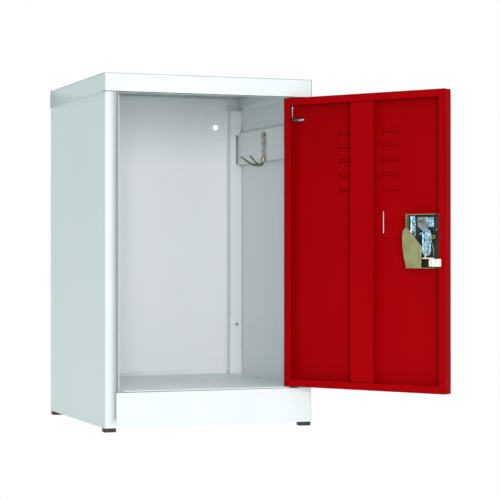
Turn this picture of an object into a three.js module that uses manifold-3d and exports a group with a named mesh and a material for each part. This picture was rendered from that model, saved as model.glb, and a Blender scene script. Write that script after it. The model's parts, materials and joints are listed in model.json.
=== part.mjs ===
// A single-door sheet-steel locker cabinet: a white body on four feet, a red door on two
// vertical pins, and a finger-lift latch with a sliding nylon bolt. Millimetres, +Z up.
// Cabinet coordinates start at the body's front left corner on the floor. The whole cabinet is
// then shifted so that the origin is the underside centre of the front left foot.
import * as THREE from 'three';
import { mergeVertices } from 'three/addons/utils/BufferGeometryUtils.js';
import Module from 'manifold-3d';

const wasm = await Module();
wasm.setup();

// Driving dimensions
const width = 381;
const depth = 381;
const height = 616;
const footHeight = 7;
const sheet = 1;
const gap = 0.3;

const postWidth = 25;
const stopDepth = 22.5;
const stopReach = 7.5;
const rearPostWidth = 25;
const rearPostDepth = 23;
const rearPostTop = 587;

const capBottom = 583.3;
const capLap = 1;
const sideTop = 612;
const kickTop = 68.2;
const kickOverlap = 4.5;
const floorTop = 70.2;
const floorThickness = 1.4;

const doorOpenAngle = THREE.MathUtils.degToRad(123.4);
const doorThickness = 20;
const doorSide = 1.5;
const doorBottom = 71;
const doorTop = 581.3;
const pinFromEdge = 7.8;
const pinFromFace = 4.5;
const pinRadius = 2.25;

const footSize = 20.5;
const footInset = 0.5;

// Places worked out from them
const openLeft = postWidth;
const openRight = width - postWidth;
const doorLeft = openLeft + doorSide;
const doorRight = openRight - doorSide;
const pinX = doorRight - pinFromEdge;
const pinY = pinFromFace;
const footCentre = footInset + footSize / 2;

const finishes = {
  whitePaint: { color: 0xf1efec, roughness: 0.42, metalness: 0.0 },
  redPaint: { color: 0xb3050c, roughness: 0.38, metalness: 0.0 },
  yellowZinc: { color: 0x96965f, roughness: 0.45, metalness: 0.6 },
  blueZinc: { color: 0xa9bfcc, roughness: 0.35, metalness: 0.9 },
  greyZinc: { color: 0x9aa39c, roughness: 0.5, metalness: 0.6 },
  nickel: { color: 0xb0a99a, roughness: 0.25, metalness: 1.0 },
  brass: { color: 0xb59a4c, roughness: 0.35, metalness: 1.0 },
  nylon: { color: 0xf2ecdc, roughness: 0.5, metalness: 0.0 },
  blackPlastic: { color: 0x151515, roughness: 0.6, metalness: 0.0 },
};

// Building helpers: each gives a plain geometry in cabinet coordinates
function box(x0, x1, y0, y1, z0, z1) {
  const geometry = new THREE.BoxGeometry(x1 - x0, y1 - y0, z1 - z0);
  return geometry.translate((x0 + x1) / 2, (y0 + y1) / 2, (z0 + z1) / 2);
}

function outline(points) {
  return new THREE.Shape(points.map(([a, b]) => new THREE.Vector2(a, b)));
}

function extrude(shape, length) {
  return new THREE.ExtrudeGeometry(shape, { depth: length, bevelEnabled: false, curveSegments: 10 });
}

// Outline in x and y, upright
function prismZ(shape, z0, z1) {
  return extrude(shape, z1 - z0).translate(0, 0, z0);
}

// Outline in x and z, running front to back
function prismY(shape, y0, y1) {
  return extrude(shape, y1 - y0).rotateX(Math.PI / 2).translate(0, y1, 0);
}

// Outline in y and z, running left to right
function prismX(shape, x0, x1) {
  const turn = new THREE.Matrix4().makeBasis(
    new THREE.Vector3(0, 1, 0), new THREE.Vector3(0, 0, 1), new THREE.Vector3(1, 0, 0));
  return extrude(shape, x1 - x0).applyMatrix4(turn).translate(x0, 0, 0);
}

function rodZ(x, y, z0, z1, radius, sides = 20) {
  const rod = new THREE.CylinderGeometry(radius, radius, z1 - z0, sides);
  return rod.rotateX(Math.PI / 2).translate(x, y, (z0 + z1) / 2);
}

function rodY(x, z, y0, y1, radius, sides = 20) {
  return new THREE.CylinderGeometry(radius, radius, y1 - y0, sides).translate(x, (y0 + y1) / 2, z);
}

function rodX(y, z, x0, x1, radius, sides = 20) {
  const rod = new THREE.CylinderGeometry(radius, radius, x1 - x0, sides);
  return rod.rotateZ(Math.PI / 2).translate((x0 + x1) / 2, y, z);
}

function tubeAlong(curve, radius, steps, sides) {
  const section = new THREE.Shape();
  section.absarc(0, 0, radius, 0, Math.PI * 2, false);
  return new THREE.ExtrudeGeometry(section, { steps, extrudePath: curve, curveSegments: sides });
}

// Joining and cutting
function toSolid(geometry) {
  if (!geometry.isBufferGeometry) return geometry;
  const plain = geometry.clone();
  plain.deleteAttribute('normal');
  plain.deleteAttribute('uv');
  const merged = mergeVertices(plain, 1e-4);
  const mesh = new wasm.Mesh({
    numProp: 3,
    vertProperties: Float32Array.from(merged.attributes.position.array),
    triVerts: Uint32Array.from(merged.index.array),
  });
  mesh.merge();
  return new wasm.Manifold(mesh);
}

function join(...pieces) {
  return pieces.map(toSolid).reduce((whole, piece) => whole.add(piece));
}

function cut(body, ...tools) {
  return tools.map(toSolid).reduce((whole, tool) => whole.subtract(tool), toSolid(body));
}

function toGeometry(solid) {
  const mesh = solid.getMesh();
  const geometry = new THREE.BufferGeometry();
  geometry.setAttribute('position', new THREE.BufferAttribute(mesh.vertProperties, 3));
  geometry.setIndex(new THREE.BufferAttribute(mesh.triVerts, 1));
  return geometry;
}

function part(name, finish, shape) {
  const geometry = shape.isBufferGeometry ? shape : toGeometry(shape);
  const mesh = new THREE.Mesh(geometry, new THREE.MeshStandardMaterial(finish));
  mesh.name = name;
  return mesh;
}

// A folded sheet's section: its outer face as right-angled points, with the material on the right
function foldedSection(points, thickness) {
  const inner = points.map(([x, y], i) => {
    const before = i > 0 ? direction(points[i - 1], points[i]) : direction(points[0], points[1]);
    const after = i < points.length - 1 ? direction(points[i], points[i + 1]) : before;
    const sameWay = before[0] === after[0] && before[1] === after[1];
    const shiftX = sameWay ? before[1] : before[1] + after[1];
    const shiftY = sameWay ? -before[0] : -before[0] - after[0];
    return [x + shiftX * thickness, y + shiftY * thickness];
  });
  return outline([...points, ...inner.reverse()]);
}

function direction(from, to) {
  return [Math.sign(to[0] - from[0]), Math.sign(to[1] - from[1])];
}

function mirrored(shape) {
  const points = shape.getPoints().map((point) => [width - point.x, point.y]);
  return outline(points.reverse());
}

// Body
const keyholeY = 328;
const keyholeTop = 604.6;
const joggleStart = 585;
const joggleEnd = 595;
const joggleInset = 2.2;

function sideSheet(isRight) {
  const section = foldedSection([
    [openLeft + stopReach, stopDepth],
    [openLeft, stopDepth],
    [openLeft, 0],
    [0, 0],
    [0, depth],
    [rearPostWidth, depth],
    [rearPostWidth, depth - rearPostDepth],
    [sheet + 0.5, depth - rearPostDepth],
  ], sheet);
  const folded = prismZ(isRight ? mirrored(section) : section, footHeight, sideTop);
  const wallX = isRight ? width - sheet : sheet;
  const inward = isRight ? -1 : 1;
  const stiffRib = prismY(outline(isRight ? [
    [wallX + 0.2, joggleStart],
    [wallX + 0.2, sideTop],
    [wallX - joggleInset, sideTop],
    [wallX - joggleInset, joggleEnd],
  ] : [
    [wallX - 0.2, joggleStart],
    [wallX + joggleInset, joggleEnd],
    [wallX + joggleInset, sideTop],
    [wallX - 0.2, sideTop],
  ]), stopDepth + 8, depth - rearPostDepth - 2);
  const rearNotch = isRight
    ? box(width - rearPostWidth - 1, width - sheet - 0.01, depth - rearPostDepth - 1, depth - sheet - 0.01,
      rearPostTop, sideTop + 1)
    : box(sheet + 0.01, rearPostWidth + 1, depth - rearPostDepth - 1, depth - sheet - 0.01,
      rearPostTop, sideTop + 1);
  const slotX0 = Math.min(wallX - inward * 3, wallX + inward * 4);
  const slotX1 = slotX0 + 7;
  const keyhole = join(
    rodX(keyholeY, keyholeTop, slotX0, slotX1, 3.4, 16),
    box(slotX0, slotX1, keyholeY - 1.4, keyholeY + 1.4, keyholeTop - 9.6, keyholeTop));
  const postFront = depth - rearPostDepth;
  const slots = isRight
    ? [box(railSlot.left, railSlot.right, postFront - 1, postFront + sheet + 0.5,
      railSlot.low, railSlot.high)]
    : [];
  return cut(join(folded, stiffRib), rearNotch, keyhole, ...slots);
}

// The slot beside the rail's end, in the front face of the right rear post
const railSlot = { left: 367.6, right: 371.3, low: 482, high: 538 };

function backPanel() {
  const left = rearPostWidth + 0.7;
  const right = width - left;
  const face = depth - 1.9;
  const panel = box(left, right, face, face + sheet, footHeight, sideTop);
  const rib = prismX(outline([
    [face + 0.2, joggleStart + 5],
    [face + 0.2, sideTop],
    [face - joggleInset, sideTop],
    [face - joggleInset, joggleEnd + 2],
  ]), left, right);
  const ringOuter = rodY(knockOutX, knockOutZ, face - 1, face + scoreDepth, knockOutRadius + 0.35, 64);
  const ringInner = rodY(knockOutX, knockOutZ, face - 2, face + 3, knockOutRadius - 0.35, 64);
  const ring = cut(ringOuter, ringInner);
  const centreHole = rodY(knockOutX, knockOutZ, face - 1, face + 2, knockOutHole, 24);
  return cut(join(panel, rib), ring, centreHole);
}

const knockOutX = 332;
const knockOutZ = 554.6;
const knockOutRadius = 28.6;
const knockOutHole = 5.7;
const scoreDepth = 0.55;

function topCap() {
  const low = -capLap;
  const high = width + capLap;
  const skirt = capLap - 0.2;
  const outer = box(low, high, low, depth + capLap, capBottom, height);
  const hollow = box(low + skirt, high - skirt, low + skirt, depth + capLap - skirt,
    capBottom - 1, height - skirt);
  const flange = box(openLeft + gap, openRight - gap, low + skirt - 0.1, frontFlange,
    capBottom, capBottom + sheet);
  return cut(join(cut(outer, hollow), flange), rodZ(pinX, pinY, capBottom - 1, capBottom + 2, bushRadius));
}

const frontFlange = 14;
const bushRadius = 4;

function kickPlate() {
  const left = openLeft - kickOverlap;
  const right = width - left;
  const face = box(left, right, -1.2, -0.2, footHeight, kickTop);
  const flange = box(openLeft + gap, openRight - gap, -0.4, frontFlange, kickTop - sheet, kickTop);
  return cut(join(face, flange), rodZ(pinX, pinY, kickTop - 2, kickTop + 1, pinRadius + 0.35));
}

function floorPanel() {
  const stopClear = openLeft + stopReach + 0.8;
  const behindStop = stopDepth + sheet + 0.8;
  const postClear = rearPostWidth + 0.7;
  const backY = depth - 2.3;
  const tongueEnd = pinX - 9;
  const plan = outline([
    [stopClear, 0.3], [tongueEnd, 0.3], [tongueEnd, behindStop],
    [width - sheet - 0.6, behindStop], [width - sheet - 0.6, depth - rearPostDepth - 1.9],
    [width - postClear, depth - rearPostDepth - 1.9], [width - postClear, backY],
    [postClear, backY], [postClear, depth - rearPostDepth - 1.9],
    [sheet + 0.6, depth - rearPostDepth - 1.9], [sheet + 0.6, behindStop], [stopClear, behindStop],
  ]);
  const upstand = box(postClear, width - postClear, backY - sheet, backY, floorTop - 0.2, floorTop + 6.3);
  const frontHem = box(stopClear, tongueEnd, 0.3, 1.9, kickTop + 0.25, floorTop - floorThickness + 0.1);
  return join(prismZ(plan, floorTop - floorThickness, floorTop), upstand, frontHem);
}

function foot(x, y) {
  const half = footSize / 2;
  const corner = 3;
  const pad = new THREE.Shape();
  pad.absarc(x + half - corner, y - half + corner, corner, -Math.PI / 2, 0, false);
  pad.absarc(x + half - corner, y + half - corner, corner, 0, Math.PI / 2, false);
  pad.absarc(x - half + corner, y + half - corner, corner, Math.PI / 2, Math.PI, false);
  pad.absarc(x - half + corner, y - half + corner, corner, Math.PI, Math.PI * 1.5, false);
  return prismZ(pad, 0, footHeight - 0.1);
}

function footWithPlug(x, y) {
  const plug = 7.2;
  return join(foot(x, y), box(x - plug, x + plug, y - plug, y + plug, footHeight - 0.3, footHeight + 9));
}

const railFace = width - 9.5;
const railBottom = 480;
const railTop = 541;
const railFront = 30;
const railBack = depth - rearPostDepth - 4;

function hookRail() {
  const wall = width - sheet - 0.2;
  const web = box(railFace, railFace + sheet, railFront, railBack, railBottom, railTop);
  const topJoggle = prismY(outline([
    [railFace, railTop - 0.2], [railFace + sheet, railTop - 0.2], [wall, railTop + 6],
    [wall, railTop + 14], [wall - sheet, railTop + 14], [wall - sheet, railTop + 6.4],
  ]), railFront, railBack);
  const bottomReturn = box(railFace, wall, railFront, railBack, railBottom, railBottom + sheet);
  const rearTab = box(width - rearPostWidth + 0.4, railFace + sheet, railBack - sheet, railBack,
    railTop - 1, railTop + 10);
  const tabRoot = box(railFace - 0.2, railFace + sheet, railBack - 4, railBack, railTop - 6, railTop + 10);
  return join(web, topJoggle, bottomReturn, rearTab, tabRoot);
}

const hookY = 212;
const hookTop = 536;
const hookBottom = 480;
const hookThickness = 2.4;
const hookHalfWidth = 10.5;
const hookScrewZ = [523, 507.5];

function coatHook() {
  const front = railFace - 0.1;
  const back = front - hookThickness;
  const plate = new THREE.Shape();
  plate.absarc(hookY, hookTop - hookHalfWidth, hookHalfWidth, 0, Math.PI, false);
  plate.lineTo(hookY - 8.6, hookScrewZ[1] - 8);
  plate.lineTo(hookY - 7.4, hookBottom);
  plate.lineTo(hookY + 7.4, hookBottom);
  plate.lineTo(hookY + 8.6, hookScrewZ[1] - 8);
  const pieces = [prismX(plate, back, front)];
  for (const side of [-1, 1]) {
    const prong = new THREE.CatmullRomCurve3([
      new THREE.Vector3(front - 2.2, hookY + side * 3, hookBottom + 5),
      new THREE.Vector3(front - 3.4, hookY + side * 3.4, hookBottom - 2),
      new THREE.Vector3(front - 11, hookY + side * 6.5, hookBottom - 7.2),
      new THREE.Vector3(front - 21, hookY + side * 14, hookBottom - 4),
      new THREE.Vector3(front - 36, hookY + side * 24.6, hookBottom + 8.5),
    ]);
    pieces.push(tubeAlong(prong, 1.9, 18, 5));
  }
  return cut(join(...pieces),
    ...hookScrewZ.map((z) => rodX(hookY, z, back - 1, front + 1, 2.6, 16)));
}

function hookScrew(z) {
  const face = railFace - 0.1 - hookThickness;
  const head = dome(3.8, 1.9).rotateZ(Math.PI / 2).translate(face - 0.05, hookY, z);
  return join(head, rodX(hookY, z, face - 0.2, railFace - 0.05, 2.2, 16));
}

// A low dome with its flat side at y = 0 and its crown towards +y
function dome(radius, rise) {
  const rings = 5;
  const profile = [new THREE.Vector2(0, 0), new THREE.Vector2(radius, 0)];
  for (let ring = 1; ring <= rings; ring += 1) {
    const angle = (ring / (rings + 1)) * (Math.PI / 2);
    profile.push(new THREE.Vector2(radius * Math.cos(angle), rise * Math.sin(angle)));
  }
  profile.push(new THREE.Vector2(0, rise));
  return new THREE.LatheGeometry(profile, 16);
}

// The bracket that ties each rear post to the floor, and its rivet
const bracketTop = 183;
const rivetZ = 167.5;

function rearPostBracket(isRight) {
  const front = depth - rearPostDepth - gap;
  const section = outline([
    [sheet + 0.8, front - sheet], [rearPostWidth + 1.3, front - sheet],
    [rearPostWidth + 1.3, front + 14], [rearPostWidth + gap, front + 14],
    [rearPostWidth + gap, front], [sheet + 0.8, front],
  ]);
  const sleeve = prismZ(isRight ? mirrored(section) : section, floorTop + 0.2, bracketTop);
  return cut(sleeve, rodY(postRivetX(isRight), rivetZ, front - 4, front + 4, 2.4, 12));
}

function postRivet(isRight) {
  const front = depth - rearPostDepth - gap;
  const x = postRivetX(isRight);
  const head = dome(3.2, 1.3).rotateZ(Math.PI).translate(x, front - sheet - 0.05, rivetZ);
  return join(head, rodY(x, rivetZ, front - sheet - 0.2, front + 0.1, 2.1, 12));
}

function postRivetX(isRight) {
  return isRight ? width - rearPostWidth / 2 : rearPostWidth / 2;
}

function bush(z0, z1, outerRadius) {
  const bore = pinRadius + 0.3;
  return cut(rodZ(pinX, pinY, z0, z1, outerRadius, 24), rodZ(pinX, pinY, z0 - 1, z1 + 1, bore, 24));
}

// The bush in the cap flange has a collar above and below the sheet
function capBush() {
  const sleeve = bush(capBottom - 0.7, capBottom + sheet + 0.9, bushRadius - 0.15);
  const collar = bush(capBottom + sheet + 0.15, capBottom + sheet + 1, bushRadius + 0.5);
  return join(sleeve, collar);
}

// Door, in the same cabinet coordinates with the door closed: y runs from its face inwards
const lip = { hinge: 14.2, free: 11.5, top: 12.8, bottom: 12.8 };
const lipHole = { fromEdge: 5.2, low: 91, high: 561, radius: 1.7 };
const louvre = {
  count: 5, pitch: 25, lowest: 413.5, left: 129, right: 251, height: 9, rise: 3.6, wall: 0.9,
};
const cardSlot = { centres: [158.8, 222.2], width: 1.6, low: 341, high: 378 };
const cupHole = { left: 40.5, right: 101, low: 282.3, high: 371.1 };

function doorPan() {
  const inner = doorThickness;
  const skin = box(doorLeft, doorRight, 0, sheet, doorBottom, doorTop);
  const frame = cut(
    box(doorLeft, doorRight, 0.5, inner, doorBottom, doorTop),
    box(doorLeft + sheet, doorRight - sheet, 0, inner - sheet, doorBottom + sheet, doorTop - sheet),
    box(doorLeft + lip.free, doorRight - lip.hinge, 0, inner + 1, doorBottom + lip.bottom,
      doorTop - lip.top));
  const holes = [
    box(cupHole.left, cupHole.right, -1, 2, cupHole.low, cupHole.high),
    rodZ(pinX, pinY, doorBottom - 1, doorBottom + 2, pinRadius + gap),
    rodZ(pinX, pinY, doorTop - 2, doorTop + 1, pinRadius + gap),
    ...mitreGaps(),
  ];
  for (const x of cardSlot.centres) {
    holes.push(box(x - cardSlot.width / 2, x + cardSlot.width / 2, -1, 2, cardSlot.low, cardSlot.high));
  }
  for (const x of [doorLeft + lipHole.fromEdge, doorRight - lipHole.fromEdge]) {
    for (const z of [lipHole.low, lipHole.high]) {
      holes.push(rodY(x, z, inner - 2, inner + 1, lipHole.radius, 12));
    }
  }
  const hoods = [];
  for (let i = 0; i < louvre.count; i += 1) {
    const low = louvre.lowest + i * louvre.pitch;
    hoods.push(louvreHood(low));
    holes.push(box(louvre.left + 0.5, louvre.right - 0.5, -1, sheet + 1, low, low + louvre.height - 0.5));
  }
  return join(cut(join(skin, frame), ...holes), ...hoods);
}

// The lips meet at the corners in short diagonal gaps
function mitreGaps() {
  const corners = [
    [doorLeft, doorTop, lip.free, -lip.top], [doorRight, doorTop, -lip.hinge, -lip.top],
    [doorLeft, doorBottom, lip.free, lip.bottom], [doorRight, doorBottom, -lip.hinge, lip.bottom],
  ];
  const from = 0.14;
  const to = 1.06;
  const half = 0.3;
  return corners.map(([x, z, dx, dz]) => {
    const lean = Math.sign(dx * dz) * half;
    const shape = outline([
      [x + dx * from - half, z + dz * from + lean], [x + dx * from + half, z + dz * from - lean],
      [x + dx * to + half, z + dz * to - lean], [x + dx * to - half, z + dz * to + lean],
    ]);
    return prismY(shape, doorThickness - 1.5, doorThickness + 0.5);
  });
}

// A louvre is a wedge-shaped hood pressed outwards from the skin, open along its lower edge
function louvreHood(low) {
  const high = low + louvre.height;
  const wall = louvre.wall;
  const outside = prismX(outline([
    [sheet, low], [sheet, high], [0, high], [-louvre.rise, low + 1.5], [-louvre.rise, low],
  ]), louvre.left, louvre.right);
  const inside = prismX(outline([
    [sheet + 1, low - 1], [sheet + 1, high - wall], [0.2, high - wall],
    [wall - louvre.rise, low + 1.3], [wall - louvre.rise, low - 1],
  ]), louvre.left + wall, louvre.right - wall);
  return cut(outside, inside);
}

const stiffener = { left: 169, right: 216, flange: 9, thickness: 0.9, low: 84.6, high: 567.7 };

function doorStiffener() {
  const base = sheet + gap + stiffener.thickness;
  const face = doorThickness - sheet - gap;
  const section = foldedSection([
    [stiffener.left - stiffener.flange, base], [stiffener.left, base], [stiffener.left, face],
    [stiffener.right, face], [stiffener.right, base], [stiffener.right + stiffener.flange, base],
  ], stiffener.thickness);
  return prismZ(section, stiffener.low, stiffener.high);
}

// Upper hinge pin: a bent rod held by a bracket, pushed up by a spring under its collar
const pinBracket = { foot: 326.5, web: 336.5, end: 351.8, low: 545.5, high: 568, reach: 14, thickness: 1.2 };
const pinTop = 589;
const pinCollar = 563;
const pinLeg = { z: 542.6, length: 25 };

function hingePinBracket() {
  const { foot: footX, web, end, low, high, reach, thickness } = pinBracket;
  const base = sheet + gap;
  const plan = outline([
    [footX, base], [web + thickness, base], [web + thickness, base + reach], [web, base + reach],
    [web, base + thickness], [footX, base + thickness],
  ]);
  const shelf = box(web, end, base, base + reach, low, low + thickness);
  return cut(join(prismZ(plan, low, high), shelf),
    rodZ(pinX, pinY, low - 1, low + thickness + 1, pinRadius + gap));
}

function upperHingePin() {
  const bottom = pinLeg.z;
  const stem = rodZ(pinX, pinY, bottom + 0.6, pinTop, pinRadius, 16);
  const leg = rodX(pinY, bottom, pinX - pinLeg.length, pinX - 0.2, pinRadius, 16);
  const knuckle = new THREE.SphereGeometry(pinRadius, 16, 10).translate(pinX, pinY, bottom);
  const collar = rodZ(pinX, pinY, pinCollar, pinCollar + 1.6, 3.1, 20);
  return join(stem, leg, knuckle, collar);
}

// A round-wire helix along z between two flat ends
function coilSpring(x, y, z0, z1, radius, wire, turns) {
  const points = [];
  const perTurn = 12;
  for (let step = 0; step <= turns * perTurn; step += 1) {
    const angle = (step / perTurn) * Math.PI * 2;
    const z = z0 + wire + ((z1 - z0 - 2 * wire) * step) / (turns * perTurn);
    points.push(new THREE.Vector3(x + radius * Math.cos(angle), y + radius * Math.sin(angle), z));
  }
  return tubeAlong(new THREE.CatmullRomCurve3(points), wire, turns * perTurn, 2);
}

function lowerHingePin() {
  const pin = rodZ(pinX, pinY, 56, doorBottom + sheet + 6, pinRadius, 20);
  const head = rodZ(pinX, pinY, doorBottom + sheet + gap, doorBottom + sheet + 2.4, 3.3, 6);
  return join(pin, head);
}

// Latch. The cup is set into the door from its face; the case stands behind it.
const cup = { left: 41, right: 100.5, low: 282.8, high: 370.6, depth: 12, rim: 4.5, wall: 1 };
const latchCase = { left: 39.3, right: 102.2, low: 281, high: 372.4, wall: 1.2, rim: 20.4 };
const liftSlot = { left: 73, right: 77.5, low: 326, high: 345 };
const pivot = { x: 63, z: 337.4 };

function handleCup() {
  const { left, right, low, high, wall } = cup;
  const body = box(left, right, -1.2, cup.depth, low, high);
  const rim = box(left - cup.rim, right + cup.rim, -1.2, -gap, low - cup.rim, high + cup.rim);
  const hollow = box(left + wall, right - wall, -2, cup.depth - wall, low + wall, high - wall);
  return cut(join(body, rim), hollow,
    box(liftSlot.left, liftSlot.right, cup.depth - 2, cup.depth + 1, liftSlot.low, liftSlot.high),
    rodY(pivot.x, pivot.z, cup.depth - 2, cup.depth + 1, 2.1, 16));
}

// The case is a wall round three sides of the cup, open towards the door's free edge. Its cover
// plate laps over the lower outer corner, with a flange turned in along its inner edges.
const openFrom = 45.5;
const coverEdge = [
  [107.1, 344.8], [108.3, 338], [108.6, 331], [108.1, 317.5], [106, 302.5], [102.9, 290],
];
const coverFlange = {
  outer: 71.5, low: 301, step: 318, inner: 98, top: 347.5, depth: 1.9, thickness: 0.9,
};

function latchCaseShell() {
  const { left, right, low, high, wall, rim } = latchCase;
  const { outer, low: flangeLow, step, inner, top, depth: flangeDepth, thickness } = coverFlange;
  const base = sheet + gap;
  const walls = cut(box(left, right, base, rim, low, high),
    box(left - 1, right - wall, base - 1, rim + 1, low + wall, high - wall),
    box(left - 1, openFrom, cup.depth - 1.5, rim + 1, low - 1, high + 1));
  const plate = prismY(outline([
    [right - 0.3, top + 2.5], ...coverEdge, [100.5, low], [outer, low], [outer, step], [inner, top],
  ]), rim - 0.2, rim + 1);
  const flange = prismY(outline([
    [outer, flangeLow], [outer, step], [inner, top], [inner + thickness, top - thickness],
    [outer + thickness, step - 0.4], [outer + thickness, flangeLow],
  ]), rim - flangeDepth, rim + 0.5);
  return join(walls, plate, flange);
}

// Pieces that stand on the floor of the case
const caseFloor = cup.depth + gap;
const smallPlate = { front: caseFloor + 0.2, back: caseFloor + 1.4 };
const bracket = { left: 87.6, right: 96, low: 333, high: 369.3, upstand: 3, hole: 1.8 };
const bracketScrewAt = { x: 91.6, z: 360.5 };

function sideBracket() {
  const { left, right, low, high } = bracket;
  const plate = box(left, right, smallPlate.front, smallPlate.back, low, high);
  const upstand = box(right - 1, right, smallPlate.front, caseFloor + bracket.upstand, low, high);
  return cut(join(plate, upstand),
    rodY(bracketScrewAt.x, bracketScrewAt.z, 0, doorThickness, bracket.hole, 12));
}

function bracketScrew() {
  const { x, z } = bracketScrewAt;
  return join(dome(2.6, 1.3).translate(x, smallPlate.back + 0.1, z),
    rodY(x, z, caseFloor + 0.1, smallPlate.back + 0.3, 1.5, 12));
}

function mechanismPlate() {
  const left = 60.8;
  const right = 83;
  const high = 367.5;
  const shoulder = 352;
  const low = 349.2;
  const plate = prismY(outline([
    [left, high], [right, high], [right, shoulder], [right - 10, low - 5.5], [left + 6, low - 0.6],
    [left, low],
  ]), smallPlate.front, smallPlate.back);
  return cut(plate, rodY(78, 360, 0, doorThickness, 1.9, 16));
}

function lockPlate() {
  const left = 51;
  const low = 350.6;
  const high = 366.8;
  const step = 60;
  const lapRight = 66.6;
  const lapShoulder = 361.2;
  const back = caseFloor + 3.4;
  const block = prismY(outline([
    [step, high], [left, high], [left, low], [step - 1.5, low], [step, low + 1.9],
  ]), smallPlate.front, back);
  const lap = prismY(outline([
    [lapRight, high], [left + 1.2, high], [left + 1.2, low], [step - 0.7, low], [lapRight, lapShoulder],
  ]), back - 1.2, back);
  return join(block, lap);
}

function caseRivet() {
  const x = 46.2;
  const z = 346;
  return join(dome(1.6, 0.9).translate(x, caseFloor + 1, z),
    rodY(x, z, caseFloor, caseFloor + 1.2, 1.2, 12));
}

// The finger lift hangs in the cup; its neck passes through the cup's slot to the lever's lug
const trigger = { left: 50, right: 90, low: 316, bend: 319, high: 350, front: -0.6, face: 3, back: 5 };
const neck = { left: 74, right: 76.5, low: 331, high: 336.8, back: 18.2 };

function liftTrigger() {
  const { left, right, low, bend, high, front, face, back } = trigger;
  return join(
    box(left, right, face, back, bend + 3, high),
    box(left, right, front, back, bend, bend + 3.5),
    box(left, right, front, front + 1.8, low, bend + 3.5),
    box(neck.left, neck.right, back - 1, neck.back, neck.low, neck.high));
}

const lever = { radius: 8.25, low: 302, high: 347.8, front: 16, back: 18, bore: 2.6 };
const lug = { from: 4, to: 13.6, low: 338, high: 341.5 };

function latchLever() {
  const top = lever.high - lever.radius;
  const bottom = lever.low + lever.radius;
  const shape = new THREE.Shape();
  shape.absarc(pivot.x, top, lever.radius, 0, Math.PI, false);
  shape.absarc(pivot.x, bottom, lever.radius, Math.PI, Math.PI * 2, false);
  const arm = box(pivot.x + lug.from, pivot.x + lug.to, lever.front, lever.back, lug.low, lug.high);
  return cut(join(prismY(shape, lever.front, lever.back), arm),
    rodY(pivot.x, pivot.z, lever.front - 1, lever.back + 1, lever.bore, 16));
}

function leverRivet() {
  const stem = rodY(pivot.x, pivot.z, cup.depth - 1.8, lever.back + 0.6, 1.9, 16);
  const spacer = rodY(pivot.x, pivot.z, caseFloor, lever.front - gap, 4, 16);
  const head = dome(4.4, 1.6).translate(pivot.x, lever.back + 0.3, pivot.z);
  return join(stem, spacer, head);
}

const bolt = {
  tip: 30.9, shoulder: 46, back: 55, low: 284, high: 297, front: 14, seat: 23.9, face: 31, slant: 4.5,
};
const bar = { left: 49, right: 70.5, front: 14.3, back: 19.4, rise: 2 };
const driver = { left: 66, right: 68.5, back: 15.6, top: 312 };

function latchBolt() {
  const nose = prismZ(outline([
    [bolt.tip, bolt.seat], [bolt.shoulder, bolt.seat], [bolt.shoulder, bolt.face],
    [bolt.tip + bolt.slant, bolt.face], [bolt.tip, bolt.seat + 2.6],
  ]), bolt.low, bolt.high);
  return join(nose,
    box(latchCase.left + 1.6, bolt.back, bolt.front, bolt.seat + 0.4, bolt.low, bolt.high),
    box(bar.left, bar.right, bar.front, bar.back, bolt.high - 0.2, bolt.high + bar.rise),
    box(driver.left, driver.right, bar.front, driver.back, bolt.high, driver.top));
}

// A wire spring coiled beside the pivot, with a leg down to the bolt's bar
const wireSpring = { x: 50.4, z: 334, radius: 3, wire: 0.7, turns: 2.25, length: 4, steps: 27 };

function returnSpring() {
  const { x, z, radius, turns, length, steps } = wireSpring;
  const start = caseFloor + 1.2;
  const end = start + length + 0.2;
  const points = [];
  for (let step = 0; step <= steps; step += 1) {
    const angle = -Math.PI / 2 + (step / steps) * turns * Math.PI * 2;
    points.push(new THREE.Vector3(
      x + radius * Math.cos(angle), start + (length * step) / steps, z + radius * Math.sin(angle)));
  }
  points.push(new THREE.Vector3(x + 2.1, end, z - 8));
  points.push(new THREE.Vector3(x - 1, end, z - 18));
  points.push(new THREE.Vector3(x - 2.2, end, z - 33));
  return tubeAlong(new THREE.CatmullRomCurve3(points), wireSpring.wire, 44, 2);
}

// Assembly
const cabinet = new THREE.Group();
for (const isRight of [false, true]) {
  const side = isRight ? 'right' : 'left';
  cabinet.add(part(`${side}_side`, finishes.whitePaint, sideSheet(isRight)));
  cabinet.add(part(`rear_post_bracket_${side}`, finishes.whitePaint, rearPostBracket(isRight)));
  cabinet.add(part(`post_rivet_${side}`, finishes.greyZinc, postRivet(isRight)));
  const x = isRight ? width - footCentre : footCentre;
  cabinet.add(part(`foot_front_${side}`, finishes.blackPlastic, footWithPlug(x, footCentre)));
  cabinet.add(part(`foot_rear_${side}`, finishes.blackPlastic, footWithPlug(x, depth - footCentre)));
}
cabinet.add(
  part('back_panel', finishes.whitePaint, backPanel()),
  part('top_cap', finishes.whitePaint, topCap()),
  part('floor_panel', finishes.whitePaint, floorPanel()),
  part('kick_plate', finishes.whitePaint, kickPlate()),
  part('hook_rail', finishes.whitePaint, hookRail()),
  part('coat_hook', finishes.nickel, coatHook()),
  part('hook_screw_upper', finishes.blueZinc, hookScrew(hookScrewZ[0])),
  part('hook_screw_lower', finishes.blueZinc, hookScrew(hookScrewZ[1])),
  part('lower_hinge_washer', finishes.blackPlastic, bush(kickTop + 0.1, doorBottom - 0.1, 4.6)),
  part('upper_hinge_bush', finishes.blackPlastic, capBush()));

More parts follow.
